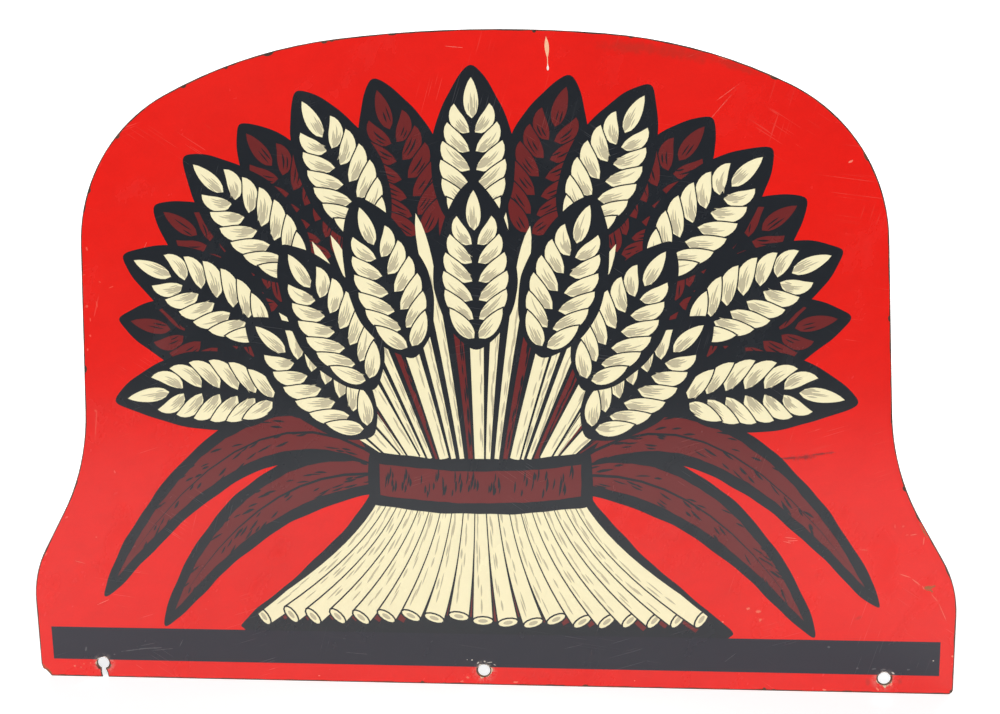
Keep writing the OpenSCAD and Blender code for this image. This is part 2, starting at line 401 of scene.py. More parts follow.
def hole_wear(net, given):
    """Wear round the three holes: a bare ring at the rim and a dull one where the bolt heads sat."""
    place, at = net.place(), net.place_parts()
    side = net.maths("ABSOLUTE", at["X"])
    x, z = side - (side > HOLE_X / 2) * HOLE_X, at["Z"]
    far = net.maths("SQRT", x * x + z * z) - HOLE_R
    patchy = net.noise(place, 260.0, 3.0, 0.6) - 0.34
    fade = net.steps(far, 0.0, given["Washer"], 1.0, 0.0)
    dull = net.noise(place, 420.0, 4.0, 0.7)
    return {"Bare": far < given["Ring"] * (patchy * 5.0), "Rubbed": fade * net.steps(dull, 0.42, 0.62)}


def browned_steel(net, given):
    """Bare steel turned brown, with darker scale and brighter rust in patches."""
    place = net.place()
    edge = 0.8 - given["Rusted"] * 0.6
    rusted = net.steps(net.noise(place, 60.0, 5.0, 0.65), edge, edge + 0.14)
    grain = net.noise(place, 900.0, 4.0, 0.7)
    drawn = net.noise(net.mapped(place, 0.0, (30, 2500, 30)), 1.0)
    steel = net.blend(drawn * 0.6, given["Steel"], DARK_STEEL)
    rust = net.blend(grain, given["Rust"], DARK_RUST)
    return {
        "Base Color": net.blend(rusted, steel, rust),
        "Roughness": rusted * 0.4 + 0.45,
        "Metallic": (1.0 - rusted) * 0.7,
        "Height": grain * (rusted * RUST_HEIGHT),
    }


# Each effect: its recipe, its inputs with their defaults, and its outputs
EFFECTS = {
    "fine_scratches": (fine_scratches, {"Amount": 0.5}, ("Mask",)),
    "specks": (specks, {"Cells": 40.0, "Size": 0.5 * MM, "Share": 0.2}, ("Mask",)),
    "aged_paint": (
        aged_paint,
        {
            "Colour": WHITE,
            "Scratch Colour": WHITE,
            "Speck Colour": WHITE,
            "Mottle": 0.5,
            "Scratches": 0.5,
            "Specks": 0.2,
            "Roughness": 0.2,
            "Peel": 0.004 * MM,
        },
        ("Base Color", "Roughness", "Height"),
    ),
    "spot": (
        ragged_spot,
        {
            "X": 0.0,
            "Z": 0.0,
            "Half Length": 5 * MM,
            "Half Width": 1 * MM,
            "Turn": 0.0,
            "Torn": 0.0,
            "Ragged": 0.5,
            "Soft": 0.2,
        },
        ("Mask",),
    ),
    "hole_wear": (hole_wear, {"Ring": 1.2 * MM, "Washer": 5 * MM}, ("Bare", "Rubbed")),
    "browned_steel": (
        browned_steel,
        {"Steel": WHITE, "Rust": WHITE, "Rusted": 0.5},
        ("Base Color", "Roughness", "Metallic", "Height"),
    ),
}


# Materials


def new_material(name, finish, *settings, **changes):
    """A material whose Principled shader takes what the finish returns for its inputs."""
    made = bpy.data.materials.new(name)
    made.use_nodes = True
    net = Net(made.node_tree)
    values = finish(net, *settings, **changes)
    if "Height" in values:
        bump = {"Height": values.pop("Height"), "Strength": 1.0, "Distance": 1.0}
        values["Normal"] = net.field(0, "ShaderNodeBump", bump)
    shader = made.node_tree.nodes["Principled BSDF"]
    for label, value in values.items():
        net.put(shader.inputs[label], value)
    return made


def between(a, b, part):
    """The colour a part of the way from a to b."""
    return tuple(x + (y - x) * part for x, y in zip(a, b))


def spot(x, up, long_mm, wide_mm, degrees=0.0, ragged=0.3, soft=0.25):
    """A spot's values, from its place and size in millimetres; up is above the bottom edge."""
    return {
        "X": x * MM,
        "Z": up * MM + FOOT_Z,
        "Half Length": long_mm / 2 * MM,
        "Half Width": wide_mm / 2 * MM,
        "Turn": radians(degrees),
        "Ragged": ragged,
        "Soft": soft,
    }


def spots(net, rows, grain):
    """The joint mask of several spots, with rims torn at this many grains a metre."""
    torn = (net.noise(net.place(), grain, 3.0, 0.65) - 0.5) * 3.0
    return net.most(*(net.effect("spot", {**spot(*row), "Torn": torn})["Mask"] for row in rows))


# Marks, one to a row, each with the values of the spot function in their order
SCUFFS = (
    (231, 184.2, 36, 2.6, 4, 0.55, 0.9),
    (240.0, 184.8, 25, 5.6, 6, 0.5, 0.95),
    (240.5, 185.0, 15, 2.6, 6, 0.3, 0.7),
    (253, 187.4, 26, 2.4, 8, 0.6, 0.9),
    (189.1, 472.2, 3.6, 2.4, -20, 0.2, 0.4),
    (304.5, 224.7, 4.2, 3, 20, 0.5, 0.8),
    (-309.9, 8.8, 6.5, 2.0, -58, 0.4, 0.5),
    (-299.9, 8.6, 6.5, 2.2, 56, 0.4, 0.5),
    (309.6, 8.9, 5.5, 1.5, 56, 0.5, 0.6),
)
DEEP_SCRATCHES = (
    (317.3, 93.9, 9.5, 0.7, -18, 0.15),
    (325.6, 89.0, 9.5, 0.8, -38, 0.15),
    (331.0, 84.6, 4, 0.8, -60, 0.2),
    (339.3, 77.0, 9, 0.6, -50, 0.3),
    (345.8, 65.5, 15, 0.45, -66, 0.4),
    (181.8, 450.8, 26, 0.36, 36, 0.5, 0.9),
    (176.5, 440.0, 42, 0.32, 49, 0.55, 0.9),
    (232.5, 122.4, 10, 0.6, -6, 0.4),
    (234.0, 120.2, 8, 0.6, 4, 0.4),
    (230.0, 119.0, 6, 0.5, -14, 0.5),
    (268.2, 117.4, 4.6, 0.8, 58, 0.4),
    (286.3, 113.7, 6.5, 0.5, -4, 0.5),
    (329.8, 121.2, 8, 0.7, 86, 0.4),
    (322.4, 126.0, 5.5, 0.6, 12, 0.4),
    (134.4, 67.8, 7, 0.6, 32, 0.4),
    (129.6, 53.4, 7, 0.6, 28, 0.4),
    (139.2, 56.0, 18, 0.5, 88, 0.5),
    (143.8, 60.9, 4.5, 0.7, 8, 0.5),
    (-296, 208, 26, 0.35, 82, 0.45),
    (-250, 340, 20, 0.3, 65, 0.5),
    (-318, 96, 9, 0.5, -14, 0.5),
    (-301, 63, 12, 0.4, 24, 0.5),
    (-12, 486, 16, 0.35, -6, 0.5),
)
SMUDGES = (
    (116, 483, 66, 13, -6, 0.5, 0.98),
    (150, 478.5, 84, 14, -10, 0.5, 0.98),
    (186, 469, 56, 8, -19, 0.5, 0.98),
    (292.8, 8.6, 4.6, 8, 0, 0.5, 0.9),
    (316.6, 9.5, 4.6, 7, 0, 0.5, 0.9),
    (230.5, 61.5, 9, 4.5, 40, 0.7, 0.95),
    (284, 59.8, 8, 5, 30, 0.7, 0.95),
)
RUST_CHIPS = (
    (334.6, 84.6, 6.4, 3.6, 12, 0.85),
    (338.0, 85.6, 4.6, 1.6, 28, 0.85),
    (336.4, 82.6, 5.0, 1.4, -35, 0.85),
    (329.6, 128.8, 14, 1.5, -62, 0.8, 0.5),
    (-350.4, 4.2, 9, 1.8, -50, 0.7, 0.4),
    (-353.9, 8.2, 5, 1.3, -62, 0.7, 0.4),
)
PALE_CHIPS = (
    (202.0, 66.0, 3.0, 2.0, 20, 0.6),
    (209.8, 63.8, 4.2, 2.2, 15, 0.7),
    (211.4, 57.2, 2.8, 2.2, 60, 0.7),
    (183.1, 55.0, 1.6, 1.3, 0, 0.5),
    (203.1, 90.5, 1.5, 1.1, 0, 0.5),
    (268.5, 401.3, 3.6, 1.6, 25, 0.5),
    (-323.5, 7.6, 1.2, 0.9, 0, 0.5),
    (-315.5, 11.4, 1.4, 1.0, 30, 0.5),
    (-13.0, 5.6, 3.0, 1.8, -8, 0.6),
    (-17.5, 2.4, 3.2, 1.2, 3, 0.6),
    (24.5, 2.6, 4.6, 1.4, 0, 0.6),
    (300.2, 3.0, 3.2, 1.5, -50, 0.5),
    (310.0, 7.1, 3.0, 2.0, 40, 0.4),
    (260.3, 1.6, 3.0, 1.4, -10, 0.5),
    (354.6, 30.6, 1.8, 1.6, 0, 0.5),
    (-328.8, 8.6, 2.0, 1.5, 0, 0.5),
    (116.5, 5.8, 1.1, 0.9, 0, 0.5),
    (-130.5, 4.6, 1.5, 0.8, 0, 0.5),
    (-321.0, 10.5, 1.2, 1.0, 0, 0.5),
)
FAINT_CHIPS = (
    (-292.7, 343.2, 1.6, 3.2, 10, 0.7),
    (-284.3, 318.0, 2.6, 1.2, -35, 0.8, 0.6),
    (-276.3, 314.0, 5.0, 0.9, 20, 0.8, 0.7),
    (-296.7, 323.6, 3.0, 1.0, 10, 0.8, 0.7),
    (-288.3, 301.3, 1.1, 7.0, 8, 0.8, 0.7),
    (-296.1, 299.6, 2.0, 2.6, 0, 0.5),
    (-294.3, 289.4, 1.0, 3.0, 5, 0.7),
    (-295.2, 277.0, 1.6, 2.0, 0, 0.6),
    (-298.1, 266.1, 1.4, 2.2, 0, 0.6),
    (-295.6, 218.3, 1.6, 2.4, 30, 0.6),
    (-194.8, 474.0, 0.9, 5.0, -6, 0.6),
    (-325.5, 132.6, 3.2, 1.6, 28, 0.8),
    (-344.7, 102.2, 1.8, 3.6, -28, 0.8),
    (-284.0, 169.8, 1.4, 2.6, 20, 0.7),
    (-302.7, 116.7, 1.6, 1.2, 0, 0.7),
    (308.6, 132.2, 1.4, 3.4, 12, 0.6, 0.6),
    (314.4, 132.3, 2.6, 1.8, 40, 0.7, 0.6),
    (317.6, 125.7, 2.4, 1.0, 20, 0.6),
    (178.5, 474.6, 8, 1.6, -17, 0.8),
)
RUBBED_BANDS = (
    (-294, 305, 16, 100, 1, 0.5, 0.9),
    (-298, 225, 12, 60, 2, 0.5, 0.9),
    (236, 88, 120, 50, 8, 0.5, 0.95),
)

# Marks on the bar
BAR_SCRATCHES = (
    (-268, 28, 15, 0.4, 12, 0.6),
    (-256, 24, 18, 0.5, 7, 0.7),
    (-240, 30, 9, 0.4, 62, 0.6),
    (-100, 24, 24, 0.3, -4, 0.6),
    (70, 33, 19, 0.3, 15, 0.6),
    (190, 27, 14, 0.35, 40, 0.6),
    (262.9, 36.3, 2.0, 1.7, 0, 0.4),
    (303.6, 18.9, 4.4, 1.4, 4, 0.6),
    (296.8, 19.4, 3.6, 1.4, 10, 0.6),
    (284.6, 19.6, 1.9, 1.4, 0, 0.5),
    (322.5, 19.2, 3.0, 1.2, 5, 0.6),
    (-318.4, 23.0, 4.0, 1.5, 80, 0.6),
    (-295.2, 19.2, 1.7, 1.2, 10, 0.5),
    (-280.5, 23.0, 20, 0.8, 8, 0.7),
    (-264.5, 25.0, 22, 0.9, 4, 0.7),
)
BAR_CHIPS = (
    (340.6, 26.8, 1.2, 1.1, 0, 0.3),
    (-9.2, 20.3, 1.5, 1.1, 0, 0.4),
    (-13.0, 20.4, 0.9, 0.7, 0, 0.4),
    (0.6, 19.3, 1.6, 1.3, 0, 0.3),
    (4.6, 18.6, 4.4, 0.6, 6, 0.5),
    (8.5, 16.6, 2.4, 0.6, -32, 0.5),
    (-4.6, 18.0, 2.2, 0.9, 48, 0.4),
    (311.2, 16.3, 2.8, 1.4, -35, 0.3),
)

# How deep and how much rougher a chip is, and the colours of the marks
CHIP_DEPTH = 0.04 * MM
CHIP_ROUGH = 0.35
PALE_RED = (0.95, 0.30, 0.22, 1)
FADED_RED = (0.86, 0.05, 0.03, 1)
SMUDGED_RED = (0.30, 0.035, 0.02, 1)
RUBBED_RED = (0.95, 0.26, 0.15, 1)
SCRATCHED_RED = (0.94, 0.34, 0.24, 1)
CHIPPED_RED = (0.95, 0.28, 0.18, 1)
SCUFFED_RED = (0.09, 0.022, 0.022, 1)
CHIP_RUST = (0.28, 0.15, 0.05, 1)
SCRATCHED_BLACK = (0.10, 0.10, 0.11, 1)
SCRATCHED_BAR = (0.13, 0.13, 0.14, 1)
SPECKED_BAR = (0.25, 0.22, 0.20, 1)
SCRATCHED_CREAM = (0.80, 0.68, 0.45, 1)
SPECKED_CREAM = (0.45, 0.33, 0.20, 1)
SCRATCHED_MAROON = (0.36, 0.10, 0.08, 1)
SCRATCHED_TAN = (0.70, 0.62, 0.42, 1)
SPECKED_INK = (0.3, 0.26, 0.2, 1)
SCRATCHED_GREY = (0.42, 0.42, 0.42, 1)
STAINED_GREY = (0.20, 0.12, 0.07, 1)
DROP_WHITE = (0.95, 0.93, 0.88, 1)


def aged_ink(net, wear, painted, scratched, specked, **changes):
    """An ink or enamel with the shared ageing."""
    values = {
        "Colour": painted,
        "Scratch Colour": scratched,
        "Speck Colour": specked,
        "Mottle": wear.mottle,
        "Scratches": wear.scratches,
        "Specks": 0.12,
        "Roughness": wear.gloss,
        "Peel": wear.peel,
    }
    return net.effect("aged_paint", {**values, **changes})


def red_ink(net, wear, colours):
    """Glossy red ink with scratches, scuffs, chips and wear round the holes."""
    red, bare, dust = tuple(colours.red), tuple(colours.bare), tuple(colours.dust)
    paint = aged_ink(net, wear, red, between(red, PALE_RED, 0.55), between(red, bare, 0.5))
    holes = net.effect("hole_wear", {"Ring": 1.6 * MM, "Washer": 7 * MM})
    dots = net.effect("specks", {"Cells": 290.0, "Size": 0.3 * MM, "Share": 0.3})["Mask"]
    flecks = net.most(spots(net, PALE_CHIPS, 900) * 0.75, spots(net, FAINT_CHIPS, 900) * 0.3)
    deep = spots(net, DEEP_SCRATCHES, 400)
    scuff = spots(net, SCUFFS, 420)
    rusty = spots(net, RUST_CHIPS, 1000)
    mixed = net.layered(
        paint["Base Color"],
        (net.steps(net.noise(net.place(), 4.0, 3.0), 0.42, 0.75, 0.0, 0.10), FADED_RED),
        (spots(net, SMUDGES, 160) * 0.36, SMUDGED_RED),
        (spots(net, RUBBED_BANDS, 60) * (dots * 0.35), RUBBED_RED),
        (deep * 0.6, SCRATCHED_RED),
        (holes["Rubbed"] * 0.4, dust),
        (flecks, CHIPPED_RED),
        (holes["Bare"], bare),
        (scuff * 0.75, SCUFFED_RED),
        (rusty * 0.85, CHIP_RUST),
    )
    chipped = net.most(flecks, holes["Bare"], rusty, deep)
    return {
        "Base Color": mixed,
        "Roughness": paint["Roughness"] + net.most(chipped, scuff) * CHIP_ROUGH,
        "Height": paint["Height"] - chipped * CHIP_DEPTH,
    }


def bar_ink(net, wear, colours):
    """Glossy black ink of the bar, with pale chips and faint scratches."""
    black, bare, dust = tuple(colours.bar), tuple(colours.bare), tuple(colours.dust)
    paint = aged_ink(net, wear, black, SCRATCHED_BLACK, SPECKED_BAR, Specks=0.06)
    holes = net.effect("hole_wear", {"Ring": 0.7 * MM, "Washer": 5 * MM})
    pale = net.most(spots(net, BAR_CHIPS, 900) * 0.7, holes["Bare"])
    mixed = net.layered(
        paint["Base Color"],
        (spots(net, BAR_SCRATCHES, 300) * 0.6, SCRATCHED_BAR),
        (holes["Rubbed"] * 0.22, dust),
        (pale, between(bare, WHITE, 0.45)),
    )
    return {
        "Base Color": mixed,
        "Roughness": paint["Roughness"] + pale * CHIP_ROUGH,
        "Height": paint["Height"] - pale * CHIP_DEPTH,
    }


def spilt_paint(net, wear, colours):
    """Spilt pale paint, whiter in its last drop."""
    pale = tuple(colours.drip)
    finish = aged_ink(net, wear, pale, pale, pale, Mottle=0.4, Specks=0.0, Roughness=0.3)
    drop = net.steps(net.place_parts()["Z"] - FOOT_Z, 471 * MM, 474 * MM, 0.85, 0.0)
    finish["Base Color"] = net.blend(drop, finish["Base Color"], DROP_WHITE)
    return finish


def bare_steel(net, colours, rusted):
    """The browned steel of the sheared edge and the worn rims."""
    values = {"Steel": tuple(colours.steel), "Rust": tuple(colours.rust), "Rusted": rusted}
    return net.effect("browned_steel", values)


def back_enamel(net, wear, colours):
    """Thin grey enamel on the back, rubbed through and rust-spotted."""
    grey, rust = tuple(colours.back), tuple(colours.rust)
    paint = aged_ink(
        net, wear, grey, SCRATCHED_GREY, rust,
        Mottle=1.1, Scratches=0.8, Specks=0.3, Roughness=0.42,
    )
    metal = bare_steel(net, colours, 0.9)
    holes = net.effect("hole_wear", {"Ring": 2.2 * MM, "Washer": 14 * MM})
    low = net.steps(net.place_parts()["Z"] - FOOT_Z, 0.0, 160 * MM, 0.07, 0.0)
    bloom = net.noise(net.place(), 11.0, 8.0, 0.72) + low
    rusted = net.steps(bloom, 0.655, 0.69)
    mixed = net.layered(
        paint["Base Color"],
        (net.steps(bloom, 0.56, 0.68, 0.0, 0.55), STAINED_GREY),
        (rusted, metal["Base Color"]),
        (holes["Rubbed"] * 0.7, rust),
        (holes["Bare"], metal["Base Color"]),
    )
    return {
        "Base Color": mixed,
        "Roughness": paint["Roughness"] + rusted * 0.3,
        "Height": paint["Height"] + rusted * metal["Height"],
    }


def dress(name, material):
    """Gives a CAD node this material, in its own slots."""
    mesh = NODES[name].data
    if not mesh.materials:
        mesh.materials.append(material)
    for k in range(len(mesh.materials)):
        mesh.materials[k] = material


# The picture's curves and outlines


def plump(s):
    """Half width of an ear, grain or leaf, blunt at the root and pointed at the tip."""
    return max(sin(pi * s ** 0.8), 0) ** 0.75


def sliver(s):
    """Half width of a brush stroke, pointed at both ends."""
    return max(sin(pi * s), 0) ** 0.9


def tapered(s):
    """Half width of a leaf's midrib."""
    return (1 - s) ** 0.7 if s > 0.06 else s / 0.06


def dripped(s):
    """Half width of a drip: a long swelling, then a thread with a bead at its end."""
    swelling = max(sin(pi * min(1, s / 0.68) ** 0.9), 0) ** 1.1
    thread = 0.19 if 0.3 < s < 0.9 else 0
    bead = 0.5 * max(1 - ((s - 0.925) / 0.075) ** 2, 0) ** 0.5
    return max(swelling, thread, bead)


def soft(v):
    """Fills out the corners of the fan's arch."""
    return copysign(abs(v) ** 0.85, v)


def mirrored(points):
    """The points on the other side of the sign's middle."""
    return [Vector((-p.x, p.y)) for p in points]


class Bow:
    """A bowed line from a root to a tip, drawn towards a bend."""

    def __init__(self, root, bend, tip):
        self.root, self.bend, self.tip = Vector(root), Vector(bend), Vector(tip)

    def at(self, u):
        """The place on the line, from 0 at the root to 1 at the tip."""
        return self.root * (1 - u) ** 2 + self.bend * (2 * u * (1 - u)) + self.tip * (u * u)

    def along(self, u):
        """The line's direction there."""
        return (self.at(u + 0.01) - self.at(u - 0.01)).normalized()

    def heading(self, u):
        """The angle of that direction."""
        ahead = self.along(u)
        return atan2(ahead.y, ahead.x)

    def across(self, u):
        """The direction to the line's left there."""
        ahead = self.along(u)
        return Vector((-ahead.y, ahead.x))

    def beside(self, u, offset):
        """The place at this distance to the line's left."""
        return self.at(u) + self.across(u) * offset

    def moved(self, by):
        """The same line, set to its left."""
        shift = self.across(0.5) * by
        return Bow(self.root + shift, self.bend + shift, self.tip + shift)

    def length(self):
        points = [self.at(k / 8) for k in range(9)]
        return sum((b - a).length for a, b in zip(points, points[1:]))

    def mirrored(self):
        return Bow(*mirrored((self.root, self.bend, self.tip)))

    def ribbon(self, start, end, width, shape, steps):
        """The outline of a band along the line, as wide as the shape says."""
        left, right = [], []
        for k in range(steps + 1):
            s = k / steps
            half = shape(s) * width / 2
            u = start + (end - start) * s
            left.append(self.beside(u, half))
            right.append(self.beside(u, -half))
        if shape(0) < 0.05:
            left = left[1:]
        if shape(1) < 0.05:
            left = left[:-1]
        return left + right[::-1]


def sides(points):
    """The sides of a closed outline, each as its two ends."""
    return zip(points, points[1:] + points[:1])


def signed_area(points):
    """The area of an outline, above zero if it runs anticlockwise."""
    return sum(a.x * b.y - b.x * a.y for a, b in sides(points)) / 2


def resampled(points, step):
    """The outline with corners no further apart than about a step."""
    out = []
    for a, b in sides(points):
        n = max(1, round((b - a).length / step))
        out += [a.lerp(b, k / n) for k in range(n)]
    return out


def perimeter(points):
    """The length of a closed outline."""
    return sum((b - a).length for a, b in sides(points))


def wavering(rng, total):
    """A smooth closed random wave, for an outline of this length; it stays within 1."""
    parts = [
        (rng.uniform(0, 2 * pi), max(1, round(total / (period * MM))), height)
        for period, height in ((60, 0.5), (26, 0.35), (13, 0.25))
    ]
    return lambda t: sum(height * sin(2 * pi * n * t + phase) for phase, n, height in parts)


def pushed(points, amounts):
    """The outline with each corner pushed outwards by its own amount."""
    way = copysign(1, signed_area(points))
    out = []
    for k, p in enumerate(points):
        before = (p - points[k - 1]).normalized()
        after = (points[(k + 1) % len(points)] - p).normalized()
        normal = Vector((before.y + after.y, -before.x - after.x))
        wide = normal.length or 1e-9
        out.append(p + normal / wide * (amounts[k] * way / max(wide / 2, 0.55)))
    return out


def grown(points, by, rough=0.0, rng=None):
    """The outline moved outwards, and then made uneven as if cut by hand."""
    points = resampled(points, max(3 * MM, 1.8 * abs(by)))
    points = pushed(points, [by] * len(points))
    if not rough:
        return points
    points = resampled(points, 3 * MM)
    wave = wavering(rng, perimeter(points))
    n = len(points)
    return pushed(points, [rough * wave(k / n) for k in range(n)])


def rounded(points, passes):
    """The outline with its corners worn round."""
    for _ in range(passes):
        points = [(points[k - 1] + p * 2 + after) / 4 for k, (p, after) in enumerate(sides(points))]
    return points


# The sheaf


# Counts, and sizes that stay as they are
PACKED_STALKS = 31
STRAWS = 19
LEAF_STROKES = 46
TIE_STROKES = 70
MIDRIB = 2.4 * MM
CUT_HALF_WIDE, CUT_HALF_DEEP = 7.5 * MM, 3 * MM
CUT_EDGE = 1.2 * MM
HAND_CUT = 0.9 * MM
HAND_CUT_INK = 0.4 * MM
WINDOW_SLACK = 0.1 * MM
SEAT_LIFT, SEAT_REACH = 0.01 * MM, 1.6 * MM

# Strokes, with their least and greatest length and width in millimetres
STRAW_STROKE = {"long": (9, 18), "wide": (0.9, 1.6)}
DARK_STROKE = {"long": (6, 13), "wide": (1.0, 1.9)}


class Sheaf:
    """The sheaf as a painter's list: inks and outlines, each covering those before it."""

    def __init__(self, sizes):
        self.sizes = sizes
        self.random = random.Random(sizes.seed)
        self.shapes = []
        self.windows = []
        self.fan = Vector((self.waist_x() - sizes.margin, SHEET_H - sizes.fan_up - sizes.margin))
        self.tie_top = sizes.tie_up + sizes.tie_depth / 2
        self.tie_foot = sizes.tie_up - sizes.tie_depth / 2
        self.bar_top = BAR_HIGH.z - FOOT_Z
        self.skirt_foot = self.bar_top + sizes.skirt_gap

    def waist_x(self):
        """Half the sheet's width where its side turns straight above the waist."""
        sizes = self.sizes
        foot = sizes.foot_r * (1 - cos(sizes.slant_lean))
        hollow = sizes.waist_r * (cos(sizes.side_lean) - cos(sizes.slant_lean))
        return SHEET_W / 2 - foot - sizes.slant * sin(sizes.slant_lean) - hollow

    def put(self, ink, points):
        """Lays one more outline over the others."""
        self.shapes.append((ink, points))

    def contour(self, points):
        """The black contour of a part, and the window in the red that it stands in."""
        sizes = self.sizes
        self.windows.append(grown(points, sizes.line / 2 - sizes.trap - WINDOW_SLACK))
        border = rounded(grown(points, sizes.border, HAND_CUT, self.random), 5)
        seat = self.bar_top + SEAT_LIFT
        self.put("black", [Vector((p.x, p.y if p.y > seat + SEAT_REACH else seat)) for p in border])

    def on_fan(self, turn, reach):
        """A place on the fan's arch at an angle from upright, or nearer by its reach."""
        sizes = self.sizes
        return Vector((
            self.fan.x * soft(sin(turn)) * reach,
            sizes.fan_up + self.fan.y * soft(cos(turn)) * reach,
        ))

    def stalk(self, turn, reach):
        """A stalk leaves the tie nearly upright and bends out to the ear's tip."""
        root = Vector((self.sizes.tie_width * 0.42 * sin(turn * 0.9), self.tie_top))
        tip = self.on_fan(turn, reach)
        bend = root + Vector((sin(turn * 0.55), cos(turn * 0.55))) * ((tip - root).length * 0.55)
        return Bow(root, bend, tip)

    def stroke(self, start, heading, curl, ink, long, wide):
        """One brush stroke, as long and as wide as drawn between two sizes in millimetres."""
        long, wide = self.random.uniform(*long) * MM, self.random.uniform(*wide) * MM
        middle = start + Vector((cos(heading), sin(heading))) * (long / 2)
        end = middle + Vector((cos(heading + curl), sin(heading + curl))) * (long / 2)
        self.put(ink, Bow(start, middle, end).ribbon(0, 1, wide, sliver, 5))

    def grain(self, line, wide, ink, shade):
        """A seed with a thin black edge, shaded by strokes that run together at its root."""
        rng = self.random
        self.put("black", line.ribbon(0, 1, wide + 2 * self.sizes.grain_gap, plump, 9))
        self.put(ink, line.ribbon(0.03, 0.95, wide, plump, 9))
        pale = shade == "tan"
        lean = rng.choice((-1, 1)) * wide * 0.09
        if pale:
            far = rng.uniform(0.30, 0.42)
            self.put(shade, line.moved(lean).ribbon(0.05, far, wide * 0.4, sliver, 5))
        for k in range(-2, 3) if pale else (-1, 1):
            aside = lean + (k + rng.uniform(-0.2, 0.2)) * wide * 0.13
            near = rng.uniform(0.1, 0.2)
            far = near + rng.uniform(0.3, 0.62) * (1 - 0.2 * abs(k))
            thin = rng.uniform(0.9, 1.4) * MM
            self.put(shade, line.moved(aside).ribbon(near, far, thin, sliver, 5))

    def ear(self, turn, reach, ink, shade):
        """An ear of wheat: a contour, then pairs of grains down from the one at the tip."""
        sizes = self.sizes
        stalk = self.stalk(turn, reach)
        start = 1 - sizes.ear_length / stalk.length()
        wide = sizes.grain_width

        def inside(s, part=1.0):
            return (plump(s) * sizes.ear_width / 2 - sizes.inset) * part

        def place(s, aside):
            return stalk.beside(start + (1 - start) * s, aside)

        self.contour(stalk.ribbon(start, 1, sizes.ear_width, plump, 12))
        top = Bow(place(0.70, 0), place(0.84, 1 * MM), place(0.985, 0))
        self.grain(top, wide * 0.9, ink, shade)
        pairs, shoot = sizes.grain_pairs, 0.2
        for k in range(pairs - 1, -1, -1):
            s = 0.03 + 0.585 * k / (pairs - 1)
            size = wide * (0.82 + 0.18 * sin(pi * min(1, s + 0.25)))
            for side in (1, -1):
                line = Bow(
                    place(s, side * 1.2 * MM),
                    place(s + shoot * 0.4, side * inside(s + shoot * 0.4, 0.85)),
                    place(s + shoot, side * inside(s + shoot)),
                )
                self.grain(line, size, ink, shade)

    def straw(self, line, start, end, wide_at_root, wide_at_tip, ink, shade, edge=0.0, point=0.0):
        """A length of straw with shading down one side, which may run out to a point."""
        rng = self.random
        widest = max(wide_at_root, wide_at_tip)

        def shape(s):
            wide = (wide_at_root + (wide_at_tip - wide_at_root) * s) / widest
            left = min(1, (1 - s) / point) if point else 1
            return wide * (1 - (1 - left) ** 2) ** 0.8

        if edge:
            self.put("black", line.ribbon(start, end, widest + edge, shape, 12))
        self.put(ink, line.ribbon(start, end, widest, shape, 20 if point else 12))
        count = int(line.length() * abs(end - start) / (11 * MM))
        for k in range(count):
            s = (k + rng.random()) / count * (1 - point) * 0.87
            u = start + (end - start) * s
            aside = shape(s) * widest * rng.uniform(-0.38, -0.02)
            self.stroke(line.beside(u, aside), line.heading(u), 0, shade, **STRAW_STROKE)

    def bundle_outline(self, reach):
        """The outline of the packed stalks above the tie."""
        sizes = self.sizes
        arch = [self.on_fan(-k * sizes.outer_turn / 9, reach) for k in range(-9, 10)]
        foot = Vector((sizes.tie_width * 0.45, sizes.tie_up))
        return [foot, *arch, *mirrored([foot])]

    def skirt_outline(self):
        """The outline of the straw below the tie."""
        sizes = self.sizes
        inner = sizes.tie_width * 0.45
        edge = [
            Vector((
                inner + (sizes.skirt_width / 2 - inner) * (k / 6) ** 1.35,
                sizes.tie_up + (self.skirt_foot - sizes.tie_up) * k / 6,
            ))
            for k in range(7)
        ]
        return edge + mirrored(edge[::-1])

    def tie_outline(self):
        """The outline of the tie, sagging in its middle."""
        sizes = self.sizes
        bow = sizes.tie_depth * 0.2
        edge = [
            Vector((sizes.tie_width / 10 * k, self.tie_foot - bow * (1 - k * k / 25)))
            for k in range(-5, 6)
        ]
        return edge + [p + Vector((0, sizes.tie_depth)) for p in edge[::-1]]

    def leaves(self):
        """The centre lines of the two leaves on the right side."""
        sizes = self.sizes
        root = (sizes.tie_width * 0.36, sizes.tie_up)
        far = SHEET_W / 2 - 2 * sizes.margin
        return (
            Bow(root, (far * 0.55, sizes.tie_up + 105 * MM), (far, self.skirt_foot + sizes.leaf_rise)),
            Bow(root, (far * 0.55, sizes.tie_up + 25 * MM), (far * 0.84, self.skirt_foot + 2 * MM)),
        )

    def leaf(self, line):
        """A maroon leaf with a midrib and short black strokes leaning away from it."""
        sizes, rng = self.sizes, self.random
        wide = sizes.leaf_width - sizes.line
        self.put("maroon", grown(line.ribbon(0.03, 0.97, wide, plump, 12), 0, HAND_CUT_INK, rng))
        for _ in range(LEAF_STROKES):
            u = rng.uniform(0.1, 0.9)
            aside = rng.uniform(-0.9, 0.9)
            lean = copysign(0.35, aside)
            start = line.beside(u, aside * plump(u) * wide / 2)
            self.stroke(start, line.heading(u) + lean, -lean * 0.7, "black", **DARK_STROKE)
        self.put("black", line.ribbon(0.05, 0.93, MIDRIB, tapered, 10))

